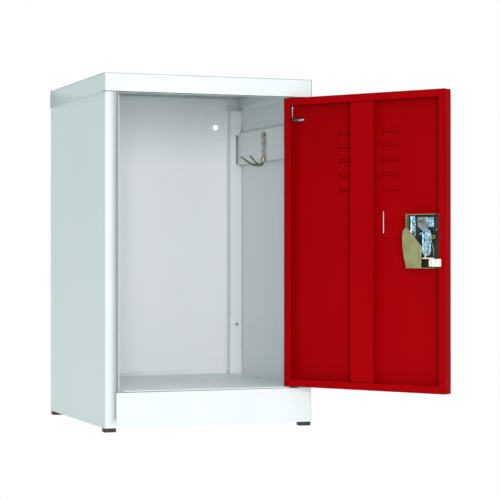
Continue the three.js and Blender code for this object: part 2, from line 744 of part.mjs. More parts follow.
const door = new THREE.Group();
door.position.set(pinX, pinY, 0);
door.rotation.z = doorOpenAngle;
const doorParts = [
  part('door_pan', finishes.redPaint, doorPan()),
  part('door_stiffener', finishes.redPaint, doorStiffener()),
  part('hinge_pin_bracket', finishes.redPaint, hingePinBracket()),
  part('upper_hinge_pin', finishes.blueZinc, upperHingePin()),
  part('hinge_pin_spring', finishes.greyZinc, coilSpring(pinX, pinY,
    pinBracket.low + pinBracket.thickness + 0.1, pinCollar - 0.1, 3.1, 0.4, 5)),
  part('lower_hinge_pin', finishes.blueZinc, lowerHingePin()),
  part('handle_cup', finishes.blackPlastic, handleCup()),
  part('latch_case', finishes.yellowZinc, latchCaseShell()),
  part('side_bracket', finishes.blueZinc, sideBracket()),
  part('bracket_screw', finishes.blueZinc, bracketScrew()),
  part('mechanism_plate', finishes.greyZinc, mechanismPlate()),
  part('lock_plate', finishes.blueZinc, lockPlate()),
  part('case_rivet', finishes.brass, caseRivet()),
  part('lift_trigger', finishes.blackPlastic, liftTrigger()),
  part('latch_lever', finishes.blueZinc, latchLever()),
  part('lever_rivet', finishes.blueZinc, leverRivet()),
  part('latch_bolt', finishes.nylon, latchBolt()),
  part('return_spring', finishes.yellowZinc, returnSpring()),
];
for (const piece of doorParts) {
  piece.position.set(-pinX, -pinY, 0);
  door.add(piece);
}
cabinet.add(door);

cabinet.position.set(-footCentre, -footCentre, 0);
const locker = new THREE.Group();
locker.add(cabinet);

export default locker;
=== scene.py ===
import json
import math

import bmesh
import bpy
from mathutils import Matrix, Vector

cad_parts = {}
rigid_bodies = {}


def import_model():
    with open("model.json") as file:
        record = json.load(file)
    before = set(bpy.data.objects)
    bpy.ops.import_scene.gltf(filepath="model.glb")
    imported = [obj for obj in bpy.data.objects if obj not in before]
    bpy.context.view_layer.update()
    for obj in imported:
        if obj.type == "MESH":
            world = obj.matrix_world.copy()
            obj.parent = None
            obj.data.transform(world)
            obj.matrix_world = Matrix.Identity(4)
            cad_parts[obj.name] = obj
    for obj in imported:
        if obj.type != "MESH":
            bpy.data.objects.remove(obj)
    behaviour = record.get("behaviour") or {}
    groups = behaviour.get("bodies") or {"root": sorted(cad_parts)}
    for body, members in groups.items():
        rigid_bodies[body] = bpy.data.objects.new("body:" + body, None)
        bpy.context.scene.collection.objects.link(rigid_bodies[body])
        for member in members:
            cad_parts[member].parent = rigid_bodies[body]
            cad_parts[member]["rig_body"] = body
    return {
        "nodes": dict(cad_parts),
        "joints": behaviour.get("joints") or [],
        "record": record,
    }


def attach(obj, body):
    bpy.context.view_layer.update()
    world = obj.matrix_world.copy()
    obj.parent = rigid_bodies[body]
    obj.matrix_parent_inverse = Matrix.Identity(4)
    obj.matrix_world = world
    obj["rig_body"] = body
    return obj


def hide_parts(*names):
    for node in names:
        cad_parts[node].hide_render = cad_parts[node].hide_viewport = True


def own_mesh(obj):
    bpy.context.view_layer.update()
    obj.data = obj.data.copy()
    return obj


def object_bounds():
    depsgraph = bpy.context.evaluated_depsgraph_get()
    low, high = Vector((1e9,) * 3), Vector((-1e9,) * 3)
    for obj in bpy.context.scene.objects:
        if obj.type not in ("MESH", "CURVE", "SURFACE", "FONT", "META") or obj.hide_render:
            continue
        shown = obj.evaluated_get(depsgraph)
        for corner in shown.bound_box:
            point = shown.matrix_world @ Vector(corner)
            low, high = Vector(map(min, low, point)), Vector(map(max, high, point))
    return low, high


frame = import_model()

cadLow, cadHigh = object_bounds()
nodes = frame["nodes"]
joints = {joint["name"]: joint for joint in frame["joints"]}
mm = 0.001


# Cabinet pieces are made in millimetres in the part's own frame.
# Door pieces are made as if the door were shut: x runs across it with 0 at the hinge pin
# and the free edge at minus, y runs inwards from the pin's centre, and z is up.
across = Vector(joints["bolt_slide"]["axis"])
inwards = Vector((0, 0, 1)).cross(across)
pin = Vector(joints["door_hinge"]["pos_m"])
cabinetPlace = Matrix.Scale(mm, 4)
doorTurn = Matrix((across, inwards, (0, 0, 1))).transposed().to_4x4()
doorPlace = Matrix.Translation((pin.x, pin.y, 0)) @ doorTurn @ Matrix.Scale(mm, 4)


def boxIn(node, place):  # a node's low and high corners in one of the two frames, in millimetres
    back = place.inverted()
    corners = [back @ vertex.co for vertex in nodes[node].data.vertices]
    low = Vector([min(corner[i] for corner in corners) for i in range(3)])
    high = Vector([max(corner[i] for corner in corners) for i in range(3)])
    return low, high


def startMaterial(name):
    material = bpy.data.materials.new(name)
    material.use_nodes = True
    tree = material.node_tree
    shader = tree.nodes["Principled BSDF"]
    place = tree.nodes.new("ShaderNodeTexCoord")
    return material, tree, shader, place


def addNoise(tree, place, scale, detail, stretch=(1, 1, 1)):
    mapping = tree.nodes.new("ShaderNodeMapping")
    mapping.inputs["Scale"].default_value = stretch
    tree.links.new(place.outputs["Object"], mapping.inputs["Vector"])
    noise = tree.nodes.new("ShaderNodeTexNoise")
    noise.inputs["Scale"].default_value = scale
    noise.inputs["Detail"].default_value = detail
    tree.links.new(mapping.outputs["Vector"], noise.inputs["Vector"])
    return noise.outputs["Fac"]


def addRamp(tree, value, stops):
    ramp = tree.nodes.new("ShaderNodeValToRGB")
    ramp.color_ramp.elements[0].position = stops[0][0]
    ramp.color_ramp.elements[0].color = (*stops[0][1], 1)
    ramp.color_ramp.elements[1].position = stops[-1][0]
    ramp.color_ramp.elements[1].color = (*stops[-1][1], 1)
    for position, colour in stops[1:-1]:
        ramp.color_ramp.elements.new(position).color = (*colour, 1)
    tree.links.new(value, ramp.inputs["Fac"])
    return ramp.outputs["Color"]


def addRange(tree, value, low, high):
    spread = tree.nodes.new("ShaderNodeMapRange")
    spread.inputs["From Min"].default_value = 0.3
    spread.inputs["From Max"].default_value = 0.7
    spread.inputs["To Min"].default_value = low
    spread.inputs["To Max"].default_value = high
    tree.links.new(value, spread.inputs["Value"])
    return spread.outputs["Result"]


def addBump(tree, shader, height, depth, strength):
    bump = tree.nodes.new("ShaderNodeBump")
    bump.inputs["Distance"].default_value = depth
    bump.inputs["Strength"].default_value = strength
    tree.links.new(height, bump.inputs["Height"])
    tree.links.new(bump.outputs["Normal"], shader.inputs["Normal"])


# Baked powder coat: a faint orange peel, cloudy tone and gloss, and fine specks of darker grain
def powderCoat(name, look):
    material, tree, shader, place = startMaterial(name)
    cloud = addNoise(tree, place, look["cloud"], 3, (1, 1, 0.45))
    tone = addRamp(tree, cloud, [(0.32, look["dark"]), (0.5, look["colour"]), (0.72, look["light"])])
    grain = addRamp(tree, addNoise(tree, place, look["grain"], 2), [(0.25, look["speck"]), (0.42, (1, 1, 1))])
    mix = tree.nodes.new("ShaderNodeMixRGB")
    mix.blend_type = "MULTIPLY"
    mix.inputs["Fac"].default_value = 1
    tree.links.new(tone, mix.inputs["Color1"])
    tree.links.new(grain, mix.inputs["Color2"])
    tree.links.new(mix.outputs["Color"], shader.inputs["Base Color"])
    tree.links.new(addRange(tree, cloud, look["gloss"], look["matt"]), shader.inputs["Roughness"])
    peel = addNoise(tree, place, look["peel"], 1.5)
    addBump(tree, shader, peel, look["depth"], look["strength"])
    shader.inputs["Specular IOR Level"].default_value = look["shine"]
    return material


# Zinc or nickel plate: colour drifts with the passivation (in the blue zinc the near-black to near-white
# drift is partly painted reflection), fine brushing or spangle in the gloss
def platedSteel(name, look):
    material, tree, shader, place = startMaterial(name)
    drift = addNoise(tree, place, look["drift"], 4)
    tone = addRamp(tree, drift, look["tones"])
    tree.links.new(tone, shader.inputs["Base Color"])
    spangle = addNoise(tree, place, look["spangle"], 3, look["brushed"])
    tree.links.new(addRange(tree, spangle, look["gloss"], look["matt"]), shader.inputs["Roughness"])
    addBump(tree, shader, spangle, look["depth"], look["strength"])
    shader.inputs["Metallic"].default_value = look["metal"]
    return material


# Moulded plastic: a soft skin with a light spark texture
def mouldedPlastic(name, look):
    material, tree, shader, place = startMaterial(name)
    tone = addRamp(tree, addNoise(tree, place, look["cloud"], 2), look["tones"])
    tree.links.new(tone, shader.inputs["Base Color"])
    spark = addNoise(tree, place, look["spark"], 2)
    tree.links.new(addRange(tree, spark, look["gloss"], look["matt"]), shader.inputs["Roughness"])
    addBump(tree, shader, spark, look["depth"], look["strength"])
    shader.inputs["Subsurface Weight"].default_value = look["glow"]
    shader.inputs["Subsurface Scale"].default_value = 0.002
    return material


whiteLook = {
    "colour": (0.722, 0.789, 0.79), "dark": (0.704, 0.772, 0.773), "light": (0.742, 0.804, 0.806),
    "speck": (0.975, 0.975, 0.975), "cloud": 5, "grain": 900, "peel": 420, "depth": 0.00006,
    "strength": 0.22, "gloss": 0.27, "matt": 0.36, "shine": 0.5,
}
redLook = {
    "colour": (0.325, 0.0005, 0.0018), "dark": (0.295, 0.0004, 0.0016), "light": (0.355, 0.0007, 0.0022),
    "speck": (0.94, 0.94, 0.94), "cloud": 6, "grain": 900, "peel": 420, "depth": 0.00006,
    "strength": 0.2, "gloss": 0.36, "matt": 0.46, "shine": 0.02,
}
yellowZincLook = {
    "tones": [(0.3, (0.26, 0.25, 0.10)), (0.5, (0.33, 0.33, 0.15)), (0.62, (0.38, 0.37, 0.20)),
              (0.75, (0.30, 0.34, 0.13))],
    "drift": 45, "spangle": 700, "brushed": (1, 1, 0.3), "gloss": 0.34, "matt": 0.5,
    "depth": 0.00004, "strength": 0.2, "metal": 0.55,
}
# Blue zinc's tones run from near black to near white: partly the plate's real passivation mottle, partly
# painted reflection
blueZincAndPaintedReflectionLook = {
    "tones": [(0.3, (0.02, 0.08, 0.20)), (0.42, (0.20, 0.45, 0.64)), (0.55, (0.55, 0.80, 0.92)),
              (0.72, (0.85, 0.94, 0.99))],
    "drift": 260, "spangle": 900, "brushed": (1, 1, 1), "gloss": 0.16, "matt": 0.34,
    "depth": 0.00012, "strength": 0.45, "metal": 0.85,
}
greyZincLook = {
    "tones": [(0.3, (0.17, 0.18, 0.16)), (0.5, (0.30, 0.32, 0.30)), (0.7, (0.42, 0.44, 0.44))],
    "drift": 120, "spangle": 700, "brushed": (1, 1, 0.4), "gloss": 0.3, "matt": 0.48,
    "depth": 0.00005, "strength": 0.25, "metal": 0.75,
}
nickelLook = {
    "tones": [(0.3, (0.18, 0.155, 0.12)), (0.5, (0.27, 0.24, 0.19)), (0.7, (0.42, 0.39, 0.34))],
    "drift": 90, "spangle": 900, "brushed": (1, 0.3, 1), "gloss": 0.14, "matt": 0.26,
    "depth": 0.00003, "strength": 0.2, "metal": 1,
}
brassLook = {
    "tones": [(0.3, (0.30, 0.20, 0.06)), (0.55, (0.50, 0.36, 0.12)), (0.75, (0.60, 0.45, 0.18))],
    "drift": 200, "spangle": 900, "brushed": (1, 1, 1), "gloss": 0.2, "matt": 0.36,
    "depth": 0.00004, "strength": 0.3, "metal": 1,
}
nylonLook = {
    "tones": [(0.35, (0.82, 0.77, 0.64)), (0.65, (0.88, 0.84, 0.74))], "cloud": 60, "spark": 900,
    "gloss": 0.35, "matt": 0.5, "depth": 0.00004, "strength": 0.2, "glow": 0.25,
}
blackLook = {
    "tones": [(0.35, (0.010, 0.010, 0.010)), (0.65, (0.022, 0.022, 0.021))], "cloud": 80,
    "spark": 1100, "gloss": 0.42, "matt": 0.62, "depth": 0.00008, "strength": 0.35, "glow": 0,
}

finishes = {
    "white_paint": powderCoat("whitePowderCoat", whiteLook),
    "red_paint": powderCoat("redPowderCoat", redLook),
    "yellow_zinc": platedSteel("yellowZincPlate", yellowZincLook),
    "blue_zinc": platedSteel("blueZincPlateAndPaintedReflection", blueZincAndPaintedReflectionLook),
    "grey_zinc": platedSteel("greyZincPlate", greyZincLook),
    "nickel": platedSteel("nickelPlate", nickelLook),
    "brass": platedSteel("brassRivet", brassLook),
    "nylon": mouldedPlastic("creamNylon", nylonLook),
    "black_plastic": mouldedPlastic("blackRubber", blackLook),
}
slotOf = {entry["node"]: entry["material_slot"] for entry in frame["record"]["subparts"]}
print("finishes made:", len(finishes))


def keepPiece(name, mesh, body, slotName, replaced=(), place=None):
    if place is not None:
        mesh.transform(place)
    bmesh.ops.recalc_face_normals(mesh, faces=mesh.faces)
    data = bpy.data.meshes.new(name)
    mesh.to_mesh(data)
    mesh.free()
    data.shade_smooth()
    data.materials.append(finishes[slotName])
    piece = bpy.data.objects.new(name, data)
    bpy.context.scene.collection.objects.link(piece)
    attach(piece, body)
    if replaced:
        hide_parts(*replaced)
    return piece


def flatRegions(mesh):  # faces that lie in one plane, each with its mean width
    widths = {}
    seen = set()
    for start in mesh.faces:
        if start in seen:
            continue
        region = {start}
        queue = [start]
        while queue:
            for edge in queue.pop().edges:
                if len(edge.link_faces) == 2 and edge.calc_face_angle() < 0.02:
                    for face in edge.link_faces:
                        if face not in region:
                            region.add(face)
                            queue.append(face)
        seen |= region
        area = sum(face.calc_area() for face in region)
        rim = sum(edge.calc_length() for face in region for edge in face.edges
                  if edge.calc_face_angle(math.pi) >= 0.02)
        for face in region:
            widths[face] = 2 * area / rim
    return widths


def isSharp(edge, degrees=35):
    return len(edge.link_faces) == 2 and edge.calc_face_angle() > math.radians(degrees)


def lieAxis(edge):  # 0, 1 or 2 for an edge along x, y or z, else None
    run = edge.verts[1].co - edge.verts[0].co
    for axis in range(3):
        if abs(run[axis]) > 0.9999 * run.length:
            return axis
    return None


def smallRims(mesh, most=60):  # boxes round each small closed rim, such as a hole's
    seen = set()
    boxes = []
    for start in mesh.verts:
        if start in seen:
            continue
        group = {start}
        queue = [start]
        while queue:
            for edge in queue.pop().link_edges:
                if isSharp(edge):
                    for vert in edge.verts:
                        if vert not in group:
                            group.add(vert)
                            queue.append(vert)
        seen |= group
        low = Vector([min(vert.co[i] for vert in group) for i in range(3)])
        high = Vector([max(vert.co[i] for vert in group) for i in range(3)])
        if len(group) > 7 and (high - low).length < most:
            boxes.append((low, high))
    return boxes


# Cuts the flats along the lines of the folds and holes, so that every seam meets a fold squarely
def squareUp(mesh, shortest=3):
    levels = [set(), set(), set()]
    for edge in mesh.edges:
        axis = lieAxis(edge)
        if axis is not None and isSharp(edge) and edge.calc_length() > shortest:
            for other in {0, 1, 2} - {axis}:
                levels[other].add(round(edge.verts[0].co[other], 2))
    for low, high in smallRims(mesh):
        for axis in range(3):
            levels[axis] |= {round(low[axis] - 0.4, 2), round(high[axis] + 0.4, 2)}
    for axis, places in enumerate(levels):
        normal = [0, 0, 0]
        normal[axis] = 1
        for level in sorted(places):
            spot = [0, 0, 0]
            spot[axis] = level
            everything = list(mesh.verts) + list(mesh.edges) + list(mesh.faces)
            bmesh.ops.bisect_plane(mesh, geom=everything, dist=0.03, plane_co=spot, plane_no=normal)
    bmesh.ops.remove_doubles(mesh, verts=mesh.verts, dist=0.01)
    slanted = [edge for edge in mesh.edges if not isSharp(edge, 0.5) and lieAxis(edge) is None]
    bmesh.ops.dissolve_limit(mesh, angle_limit=math.radians(0.5), verts=[], edges=slanted)


# The CAD sheet with its folds rounded and its cut edges eased, by edge weights on one Bevel
def foldedCopy(node, name, fold=1.1, inside=0.35, cutEdge=0.16, thin=1.7, segments=3, shape=None,
               clamp=False):
    mesh = bmesh.new()
    mesh.from_mesh(nodes[node].data)
    bmesh.ops.remove_doubles(mesh, verts=mesh.verts, dist=4e-6)
    body = nodes[node]["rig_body"]
    place = cabinetPlace if body == "cabinet" else doorPlace
    mesh.transform(place.inverted())
    squareUp(mesh)
    if shape:
        shape(mesh)
    widths = flatRegions(mesh)
    weight = mesh.edges.layers.float.new("bevel_weight_edge")
    for edge in mesh.edges:
        if not isSharp(edge):
            continue
        if min(widths[face] for face in edge.link_faces) < thin:
            edge[weight] = cutEdge / fold
        elif edge.is_convex:
            edge[weight] = 1
        else:
            edge[weight] = inside / fold
    piece = keepPiece(name, mesh, body, slotOf[node], [node], place)
    rounding = piece.modifiers.new("rounding", "BEVEL")
    rounding.limit_method = "WEIGHT"
    rounding.width = fold * mm
    rounding.segments = segments
    rounding.use_clamp_overlap = clamp
    piece.modifiers.new("evenShading", "WEIGHTED_NORMAL").keep_sharp = True
    return piece


def spunShape(profile, turns=48):  # a profile of (radius, height) spun about z and closed at its ends
    mesh = bmesh.new()
    verts = [mesh.verts.new((radius, 0, height)) for radius, height in profile]
    edges = [mesh.edges.new(pair) for pair in zip(verts, verts[1:])]
    bmesh.ops.spin(mesh, geom=verts + edges, cent=(0, 0, 0), axis=(0, 0, 1),
                   angle=2 * math.pi, steps=turns, use_merge=True)
    bmesh.ops.remove_doubles(mesh, verts=mesh.verts, dist=1e-4)
    return mesh


def sweptRod(route, radii, sides=16, mesh=None):  # a round rod along a route, with rounded ends
    mesh = mesh or bmesh.new()
    direction = (route[1] - route[0]).normalized()
    turn = direction.to_track_quat("Z", "Y").to_matrix().to_4x4()
    ring = bmesh.ops.create_circle(mesh, segments=sides, radius=radii[0], cap_ends=False,
                                   matrix=Matrix.Translation(route[0]) @ turn)["verts"]
    edges = list({edge for vert in ring for edge in vert.link_edges})
    firstEdges = edges
    for i in range(1, len(route)):
        ahead = route[min(i + 1, len(route) - 1)] - route[i - 1]
        ahead.normalize()
        bend = direction.rotation_difference(ahead).to_matrix().to_4x4()
        grown = bmesh.ops.extrude_edge_only(mesh, edges=edges)["geom"]
        ring = [part for part in grown if isinstance(part, bmesh.types.BMVert)]
        edges = [part for part in grown if isinstance(part, bmesh.types.BMEdge)
                 and all(vert in ring for vert in part.verts)]
        move = (Matrix.Translation(route[i]) @ bend @ Matrix.Scale(radii[i] / radii[i - 1], 4)
                @ Matrix.Translation(-route[i - 1]))
        bmesh.ops.transform(mesh, matrix=move, verts=ring)
        direction = ahead
    bmesh.ops.holes_fill(mesh, edges=firstEdges + edges, sides=0)
    return mesh


def smoothRoute(points, steps):  # a soft curve through the points
    ends = [points[0] * 2 - points[1], *points, points[-1] * 2 - points[-2]]
    route = []
    for i in range(1, len(ends) - 2):
        before, start, stop, after = ends[i - 1:i + 3]
        for step in range(steps):
            t = step / steps
            route.append(0.5 * (2 * start + (stop - before) * t
                                + (2 * before - 5 * start + 4 * stop - after) * t * t
                                + (3 * start - 3 * stop + after - before) * t ** 3))
    route.append(points[-1])
    return route


def roundedEnds(radius, count, steps=4):  # radii along a rod with domed ends
    rise = [radius * math.sin(math.pi / 2 * (step + 0.6) / (steps + 0.6)) for step in range(steps)]
    return rise + [radius] * (count - 2 * steps) + rise[::-1]


def cutAway(piece, tools):  # takes the tool shapes out of a piece, and the tools go
    for tool in tools:
        cutter = piece.modifiers.new("cut", "BOOLEAN")
        cutter.operation = "DIFFERENCE"
        cutter.solver = "EXACT"
        cutter.object = tool
    graph = bpy.context.evaluated_depsgraph_get()
    data = bpy.data.meshes.new_from_object(piece.evaluated_get(graph))
    piece.modifiers.clear()
    old = piece.data
    piece.data = data
    bpy.data.meshes.remove(old)
    for tool in tools:
        bpy.data.objects.remove(tool)


def looseTool(name, mesh, place):
    mesh.transform(place)
    bmesh.ops.recalc_face_normals(mesh, faces=mesh.faces)
    data = bpy.data.meshes.new(name)
    mesh.to_mesh(data)
    mesh.free()
    tool = bpy.data.objects.new(name, data)
    bpy.context.scene.collection.objects.link(tool)
    return tool


# The white body's sheets, each with the size of its rounded folds
bodySheets = {
    "left_side": {"name": "leftSideSheet", "fold": 1.2},
    "right_side": {"name": "rightSideSheet", "fold": 1.2},
    "top_cap": {"name": "topCapSheet", "fold": 1.3, "inside": 0.5},
    "back_panel": {"name": "backPanelSheet", "fold": 1.0},
    "floor_panel": {"name": "floorPanelSheet", "fold": 1.2},
    "kick_plate": {"name": "kickPlateSheet", "fold": 0.9},
    "hook_rail": {"name": "hookRailSheet", "fold": 1.0},
    "rear_post_bracket_left": {"name": "rearPostSleeveLeft", "fold": 1.0},
    "rear_post_bracket_right": {"name": "rearPostSleeveRight", "fold": 1.0},
}
for node, look in bodySheets.items():
    foldedCopy(node, **look)
print("white body sheets made:", len(bodySheets))

footLook = {"fold": 0.9, "inside": 0.3, "cutEdge": 0.3, "thin": 1, "segments": 4, "clamp": True}
footNames = {"foot_front_left": "footFrontLeft", "foot_front_right": "footFrontRight",
             "foot_rear_left": "footRearLeft", "foot_rear_right": "footRearRight"}
for node, name in footNames.items():
    foldedCopy(node, name, **footLook)
print("feet made:", len(footNames))

# The red door, its hat-shaped stiffener and the hinge pin's bracket
doorSheets = {
    "door_pan": {"name": "doorPanSheet", "fold": 1.2},
    "door_stiffener": {"name": "doorStiffenerHat", "fold": 1.2},
    "hinge_pin_bracket": {"name": "hingePinBracketSheet", "fold": 0.8},
}
for node, look in doorSheets.items():
    foldedCopy(node, **look)
print("red door sheets made:", len(doorSheets))

def embossLever(mesh):  # the lever's middle is pressed back inside a raised rim
    face = max(vert.co.y for vert in mesh.verts)
    front = [part for part in mesh.faces if part.normal.y > 0.9 and part.calc_center_median().y > face - 0.1]
    bmesh.ops.inset_region(mesh, faces=front, thickness=1.7, depth=0)
    front = [part for part in front if part.is_valid]
    bmesh.ops.inset_region(mesh, faces=front, thickness=0.5, depth=-0.45)


latchSheets = {
    # The handle cup and finger lift take a black finish from their slots: painted shade standing for the
    # shadow inside the latch case
    "handle_cup": {"name": "handleCupBlackedForShade", "fold": 1.0, "inside": 0.8},
    "latch_case": {"name": "latchCasePressing", "fold": 0.9},
    "side_bracket": {"name": "sideBracketPlate", "fold": 0.6},
    "mechanism_plate": {"name": "mechanismPlate", "fold": 0.4, "thin": 1.5},
    "lock_plate": {"name": "lockPlate", "fold": 0.5, "thin": 1.5},
    "lift_trigger": {"name": "fingerLiftBlackedForShade", "fold": 0.7},
    "latch_lever": {"name": "latchLever", "fold": 0.45, "thin": 1.5, "shape": embossLever},
    "latch_bolt": {"name": "latchBolt", "fold": 0.7, "inside": 0.5, "segments": 4},
}
for node, look in latchSheets.items():
    foldedCopy(node, **look)
print("latch parts made:", len(latchSheets))


yAxisUp = Matrix.Rotation(-math.pi / 2, 4, "X")  # turns a shape made along z to lie along y


def along(x, y, z, turn=Matrix.Identity(4)):
    return Matrix.Translation((x, y, z)) @ turn


def ringShape(inner, outer, low, high, ease, turns=48):  # a washer or collar with eased rims
    return spunShape([(inner, low), (outer - ease, low), (outer, low + ease), (outer, high - ease),
                      (outer - ease, high), (inner, high), (inner, low)], turns)


def domeProfile(radius, rise, lipDepth=0.25, steps=7, dimple=0, dimpleDepth=0):
    profile = [(0, -lipDepth), (radius, -lipDepth)]
    for step in range(steps + 1):
        angle = math.pi / 2 * step / steps
        reach = radius * math.cos(angle)
        if reach > dimple:
            profile.append((reach, rise * math.sin(angle)))
    if dimple:
        profile += [(dimple, rise * 0.97), (dimple * 0.82, rise - dimpleDepth)]
    return profile + [(0, rise - dimpleDepth)]


pinLook = {"radius": 2.25, "sides": 24, "tip": 0.6, "elbow": 4.0, "collarHeight": 563, "collarRise": 1.6,
           "springTurns": 5.5, "springWire": 0.42, "springKeep": 0.445}
lowerPinLook = {"head": 3.3, "headRise": 2.1, "headHeight": 72.3, "headEase": 0.25}


def upperPin():
    low, high = boxIn("upper_hinge_pin", doorPlace)
    radius = pinLook["radius"]
    legZ = low.z + radius
    elbow = pinLook["elbow"]
    points = [Vector((low.x + step, 0, legZ)) for step in (0, 0.3, 1.2)]
    for step in range(11):
        angle = math.pi / 2 * step / 10
        points.append(Vector((elbow * (math.sin(angle) - 1), 0, legZ + elbow * (1 - math.cos(angle)))))
    points += [Vector((0, 0, high.z - step)) for step in (2.4, 0.6, 0)]
    tip = pinLook["tip"]
    radii = [radius * tip, radius * 0.9] + [radius] * (len(points) - 4) + [radius * 0.95, radius * tip]
    return sweptRod(points, radii, pinLook["sides"])


pinBox = boxIn("upper_hinge_pin", doorPlace)
collarHeight = pinLook["collarHeight"]
keepPiece("upperHingePin", upperPin(), "hinge_pin", "blue_zinc", ["upper_hinge_pin"], doorPlace)
collar = ringShape(2.2, pinBox[1].y, collarHeight, collarHeight + pinLook["collarRise"], 0.3)
keepPiece("upperPinCollar", collar, "hinge_pin", "blue_zinc", (), doorPlace)

springBox = boxIn("hinge_pin_spring", doorPlace)


def coil(radius, turns, low, high, perTurn=20):  # a route that winds up about the pin's own line
    route = []
    for step in range(int(turns * perTurn) + 1):
        angle = 2 * math.pi * step / perTurn
        rise = low + (high - low) * step / (turns * perTurn)
        route.append(Vector((radius * math.cos(angle), radius * math.sin(angle), rise)))
    return route


wire = pinLook["springWire"]
springRoute = coil(springBox[1].x - wire, pinLook["springTurns"],
                   springBox[0].z + wire, springBox[1].z - wire)
pinSpring = keepPiece("hingePinSpring", sweptRod(springRoute, roundedEnds(wire, len(springRoute), 3), 10),
                      "door", "grey_zinc", ["hinge_pin_spring"], doorPlace)
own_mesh(pinSpring)

lowerBox = boxIn("lower_hinge_pin", doorPlace)
lowerPin = spunShape([(0, lowerBox[0].z), (1.4, lowerBox[0].z), (2.25, lowerBox[0].z + 0.9),
                      (2.25, lowerBox[1].z - 0.6), (1.7, lowerBox[1].z), (0, lowerBox[1].z)])
keepPiece("lowerHingePin", lowerPin, "door", "blue_zinc", ["lower_hinge_pin"], doorPlace)
hexHead = bmesh.new()
bmesh.ops.create_circle(hexHead, segments=6, radius=lowerPinLook["head"], cap_ends=True)
lifted = bmesh.ops.extrude_face_region(hexHead, geom=hexHead.faces[:])["geom"]
liftedVerts = [part for part in lifted if isinstance(part, bmesh.types.BMVert)]
bmesh.ops.translate(hexHead, vec=(0, 0, lowerPinLook["headRise"]), verts=liftedVerts)
bmesh.ops.bevel(hexHead, geom=hexHead.edges[:], offset=lowerPinLook["headEase"],
                offset_type="OFFSET", segments=2, affect="EDGES", profile=0.5, material=-1)
hexHead.transform(Matrix.Translation((0, 0, lowerPinLook["headHeight"])))
keepPiece("lowerPinHead", hexHead, "door", "blue_zinc", (), doorPlace)

washerBox = boxIn("lower_hinge_washer", cabinetPlace)
bushBox = boxIn("upper_hinge_bush", cabinetPlace)
pinCentre = Vector(((washerBox[0].x + washerBox[1].x) / 2, (washerBox[0].y + washerBox[1].y) / 2, 0))
pinSpot = Matrix.Scale(mm, 4) @ Matrix.Translation(pinCentre)
washer = ringShape(2.6, 4.6, washerBox[0].z, washerBox[1].z, 0.4)
keepPiece("lowerHingeWasher", washer, "cabinet", "black_plastic", ["lower_hinge_washer"], pinSpot)
bush = spunShape([(2.6, bushBox[0].z), (3.6, bushBox[0].z), (3.85, bushBox[0].z + 0.3), (3.85, 584.5),
                  (4.2, 584.5), (4.5, 584.8), (4.2, bushBox[1].z), (2.6, bushBox[1].z), (2.6, bushBox[0].z)])
keepPiece("upperHingeBush", bush, "cabinet", "black_plastic", ["upper_hinge_bush"], pinSpot)
print("hinge pins, spring and bushes made")


hookLook = {"thickness": 2.4, "corner": 3.4, "roundTop": 10.3, "ease": 0.5, "root": 2.5, "neck": 1.6,
            "tipBall": 2.4, "sides": 18, "tall": 56, "width": 21, "waist": 17.2, "footWidth": 14.8}


def hookPlate():
    low, high = boxIn("coat_hook", cabinetPlace)
    middle = (low.y + high.y) / 2
    back = high.x
    mesh = bmesh.new()
    half, waist, foot = (hookLook[name] / 2 for name in ("width", "waist", "footWidth"))
    rightSide = [(half, high.z), (half, high.z - 20), (waist, high.z - 36), (foot, high.z - hookLook["tall"])]
    outline = rightSide + [(-y, z) for y, z in reversed(rightSide)]
    face = mesh.faces.new([mesh.verts.new((back, middle + y, z)) for y, z in outline])
    tops = [vert for vert in face.verts if vert.co.z > high.z - 1]
    bmesh.ops.bevel(mesh, geom=tops, offset=hookLook["roundTop"], offset_type="OFFSET", segments=10,
                    affect="VERTICES", profile=0.5, material=-1)
    feet = [vert for vert in mesh.verts if vert.co.z < high.z - 50]
    bmesh.ops.bevel(mesh, geom=feet, offset=hookLook["corner"], offset_type="OFFSET", segments=6,
                    affect="VERTICES", profile=0.5, material=-1)
    grown = bmesh.ops.extrude_face_region(mesh, geom=mesh.faces[:])["geom"]
    bmesh.ops.translate(mesh, vec=(-hookLook["thickness"], 0, 0),
                        verts=[part for part in grown if isinstance(part, bmesh.types.BMVert)])
    bmesh.ops.recalc_face_normals(mesh, faces=mesh.faces[:])
    rim = [edge for edge in mesh.edges if isSharp(edge, 50)]
    bmesh.ops.bevel(mesh, geom=rim, offset=hookLook["ease"], offset_type="OFFSET", segments=3,
                    affect="EDGES", profile=0.5, material=-1)
    return mesh


def hookProng(mesh, side):
    low, high = boxIn("coat_hook", cabinetPlace)
    middle = (low.y + high.y) / 2
    front = high.x
    bottom = high.z - hookLook["tall"]
    points = [(2.2, 3.4, 9), (2.8, 3.5, 4), (3.6, 3.8, -2), (6.2, 4.8, -6), (11, 6.5, -7.1),
              (21, 14, -4), (35, 23.2, 7.2)]
    route = smoothRoute([Vector((front - x, middle + side * y, bottom + z)) for x, y, z in points], 5)
    count = len(route)
    radii = []
    for i in range(count):
        share = i / (count - 1)
        radius = hookLook["root"] + (hookLook["neck"] - hookLook["root"]) * share
        radii.append(radius)
    radii[:3] = [radii[0] * 0.5, radii[0] * 0.85, radii[0]]
    tip = route[-1]
    ahead = (tip - route[-2]).normalized()
    ball = hookLook["tipBall"]
    for step in range(1, 9):
        angle = math.pi * (0.24 + 0.74 * step / 8)
        route.append(tip + ahead * ball * (math.cos(math.pi * 0.24) - math.cos(angle)) * 0.9)
        radii.append(ball * math.sin(angle))
    return sweptRod(route, radii, hookLook["sides"], mesh)


coatHook = hookPlate()
for side in (-1, 1):
    hookProng(coatHook, side)
keepPiece("coatHookBody", coatHook, "cabinet", "nickel", ["coat_hook"], cabinetPlace)
print("coat hook made")

screwLook = {"crossDepth": 1.0, "wing": 0.55, "thin": 0.24, "hookHead": 3.8, "hookRise": 1.9,
             "bracketHead": 2.6, "bracketRise": 1.3}


